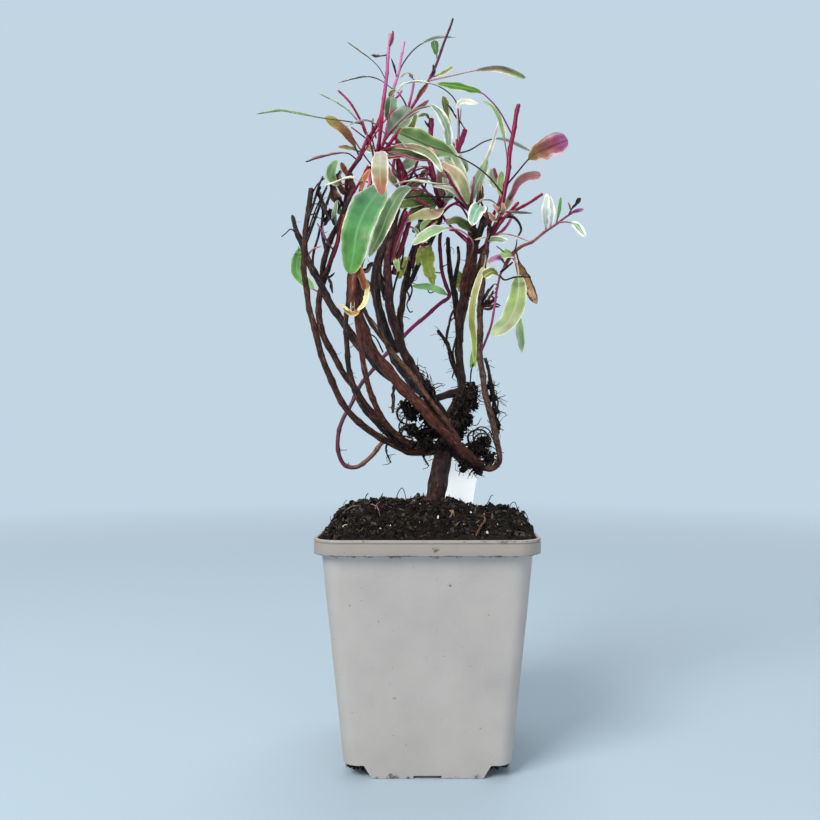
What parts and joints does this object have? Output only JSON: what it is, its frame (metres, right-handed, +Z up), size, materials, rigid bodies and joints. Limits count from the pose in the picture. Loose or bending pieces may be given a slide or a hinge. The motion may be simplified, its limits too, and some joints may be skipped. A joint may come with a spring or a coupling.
{
  "type": "potted gaura plant",
  "caption": "Variegated gaura with a bare root crown, arching woody stems and red leafy shoots, in a square plastic nursery pot of soil with a blank tag.",
  "frame": {"origin": "centre of the pot's foot on the ground", "axes": "+Z up along the pot's axis, the pictured front faces -Y, +X to its right"},
  "size_m": [0.1272, 0.0828, 0.2951],
  "materials": {
    "pot_plastic": "matt warm grey plastic, lightly scuffed, with specks of soil",
    "soil": "moist dark peat with fibres and white perlite",
    "label_plastic": "plain white tag, nothing printed on it",
    "bark": "dark red-brown bark, rough and dull",
    "root_crown": "dirty root crown with fine black roots",
    "red_shoot": "crimson to pink soft stems with green and cream edged leaves",
    "green_leaf": "mid green leaf with a paler midrib and margin",
    "pale_leaf": "grey-green leaf with a cream margin",
    "rosy_leaf": "green-brown leaf flushed magenta",
    "dead_leaf": "dry brown to tan leaf"
  },
  "bodies": {
    "root": {"pot": "pot_plastic", "soil": "soil", "plant_label": "label_plastic", "trunk": "root_crown", "left_bough": "bark", "second_bough": "bark", "main_bough": "bark", "middle_bough": "bark", "loop_stem": "bark", "right_bough": "bark", "far_right_stem": "bark", "left_shoot": "red_shoot", "pink_shoot": "red_shoot", "tall_shoot": "red_shoot", "centre_shoot": "red_shoot", "stub_shoot": "red_shoot", "right_shoot": "red_shoot", "end_twig": "red_shoot", "great_green_leaf": "green_leaf", "flushed_leaf": "pale_leaf", "rose_edged_leaf": "rosy_leaf", "blue_green_leaf": "pale_leaf", "broad_green_leaf": "green_leaf", "rosy_leaf": "rosy_leaf", "tan_dead_leaf": "dead_leaf", "cream_leaf": "pale_leaf", "pale_left_leaf": "pale_leaf", "round_left_leaf": "green_leaf", "front_arch_leaf": "pale_leaf", "dark_green_leaf": "green_leaf", "torn_leaf": "green_leaf", "small_torn_leaf": "green_leaf", "low_green_leaf": "green_leaf", "gap_green_leaf": "green_leaf", "folded_right_leaf": "green_leaf", "hanging_leaf": "green_leaf", "small_hanging_leaf": "pale_leaf", "dead_leaf": "dead_leaf", "olive_leaf": "green_leaf", "purple_leaf": "rosy_leaf", "long_yellow_leaf": "green_leaf"}
  },
  "joints": []
}
